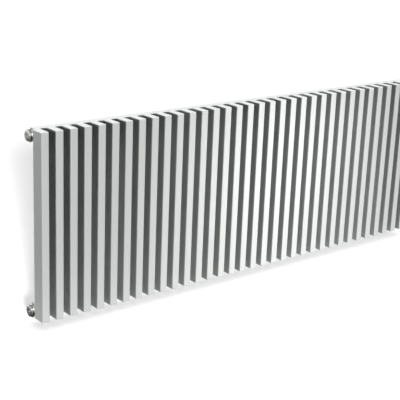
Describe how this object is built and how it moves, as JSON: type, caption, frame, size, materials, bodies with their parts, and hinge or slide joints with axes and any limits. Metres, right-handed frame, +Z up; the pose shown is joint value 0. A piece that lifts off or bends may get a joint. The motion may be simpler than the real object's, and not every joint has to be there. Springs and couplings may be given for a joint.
{
  "type": "wall radiator",
  "caption": "Wall-hung hot-water radiator: upright rectangular steel tubes welded to two rear headers, with air vent, blanking plug and wall rails.",
  "frame": {"origin": "centre of the four wall fixing holes, on the wall plane", "axes": "+X along the row of tubes to the right as seen from the room, +Y into the wall, +Z up"},
  "size_m": [1.687, 0.12, 0.602],
  "materials": {
    "radiator_paint": "satin white powder coat",
    "rail_paint": "satin white powder coat",
    "plug_nickel": "nickel plated, turned",
    "zinc_steel": "zinc plated",
    "black_nylon": "moulded nylon",
    "seal_rubber": "matt"
  },
  "bodies": {
    "radiator": {"tube_01": "radiator_paint", "tube_02": "radiator_paint", "tube_03": "radiator_paint", "tube_04": "radiator_paint", "tube_05": "radiator_paint", "tube_06": "radiator_paint", "tube_07": "radiator_paint", "tube_08": "radiator_paint", "tube_09": "radiator_paint", "tube_10": "radiator_paint", "tube_11": "radiator_paint", "tube_12": "radiator_paint", "tube_13": "radiator_paint", "tube_14": "radiator_paint", "tube_15": "radiator_paint", "tube_16": "radiator_paint", "tube_17": "radiator_paint", "tube_18": "radiator_paint", "tube_19": "radiator_paint", "tube_20": "radiator_paint", "tube_21": "radiator_paint", "tube_22": "radiator_paint", "tube_23": "radiator_paint", "tube_24": "radiator_paint", "tube_25": "radiator_paint", "tube_26": "radiator_paint", "tube_27": "radiator_paint", "tube_28": "radiator_paint", "tube_29": "radiator_paint", "tube_30": "radiator_paint", "tube_31": "radiator_paint", "tube_32": "radiator_paint", "tube_33": "radiator_paint", "tube_34": "radiator_paint", "tube_caps_top": "radiator_paint", "tube_caps_bottom": "radiator_paint", "header_top": "radiator_paint", "header_bottom": "radiator_paint", "end_boss_top_left": "radiator_paint", "end_boss_top_right": "radiator_paint", "end_boss_bottom_left": "radiator_paint", "end_boss_bottom_right": "radiator_paint", "vent_body": "plug_nickel", "blanking_plug": "plug_nickel", "plug_seals": "seal_rubber", "hanger_lugs": "radiator_paint", "wall_rail_left": "rail_paint", "wall_rail_right": "rail_paint", "seat_pad_left": "black_nylon", "seat_pad_right": "black_nylon"},
    "vent_outlet": {"vent_outlet_disc": "plug_nickel"},
    "vent_screw": {"vent_bleed_screw": "zinc_steel"},
    "bolt_left": {"lock_bolt_left": "zinc_steel"},
    "bolt_right": {"lock_bolt_right": "zinc_steel"},
    "nut_left": {"thumb_nut_left": "zinc_steel"},
    "nut_right": {"thumb_nut_right": "zinc_steel"},
    "spacer_left": {"spacer_spindle_left": "zinc_steel", "spacer_foot_left": "black_nylon"},
    "spacer_right": {"spacer_spindle_right": "zinc_steel", "spacer_foot_right": "black_nylon"}
  },
  "joints": [
    {"name": "vent_outlet_turn", "type": "hinge", "parent": "radiator", "child": "vent_outlet", "pos_m": [-0.8465, -0.055, 0.28], "axis": [-1, 0, 0], "continuous": true},
    {"name": "vent_screw_turn", "type": "hinge", "parent": "radiator", "child": "vent_screw", "pos_m": [-0.8415, -0.055, 0.28], "axis": [-1, 0, 0], "range_deg": [0, 540]},
    {"name": "lock_bolt_left_pull", "type": "slide", "parent": "radiator", "child": "bolt_left", "axis": [-1, 0, 0], "range_m": [0, 0.024]},
    {"name": "lock_bolt_right_pull", "type": "slide", "parent": "radiator", "child": "bolt_right", "axis": [1, 0, 0], "range_m": [0, 0.024]},
    {"name": "thumb_nut_left_turn", "type": "hinge", "parent": "radiator", "child": "nut_left", "pos_m": [-0.6, -0.0168, -0.28], "axis": [0, 1, 0], "range_deg": [0, 900]},
    {"name": "spacer_left_slide", "type": "slide", "parent": "radiator", "child": "spacer_left", "axis": [0, 1, 0], "range_m": [0, 0.00501]},
    {"name": "thumb_nut_right_turn", "type": "hinge", "parent": "radiator", "child": "nut_right", "pos_m": [0.6, -0.0168, -0.28], "axis": [0, 1, 0], "range_deg": [0, 900]},
    {"name": "spacer_right_slide", "type": "slide", "parent": "radiator", "child": "spacer_right", "axis": [0, 1, 0], "range_m": [0, 0.00501]}
  ],
  "couplings": [
    {"joint": "spacer_left_slide", "follows": "thumb_nut_left_turn", "m_per_rad": 0.00031831},
    {"joint": "spacer_right_slide", "follows": "thumb_nut_right_turn", "m_per_rad": 0.00031831}
  ]
}
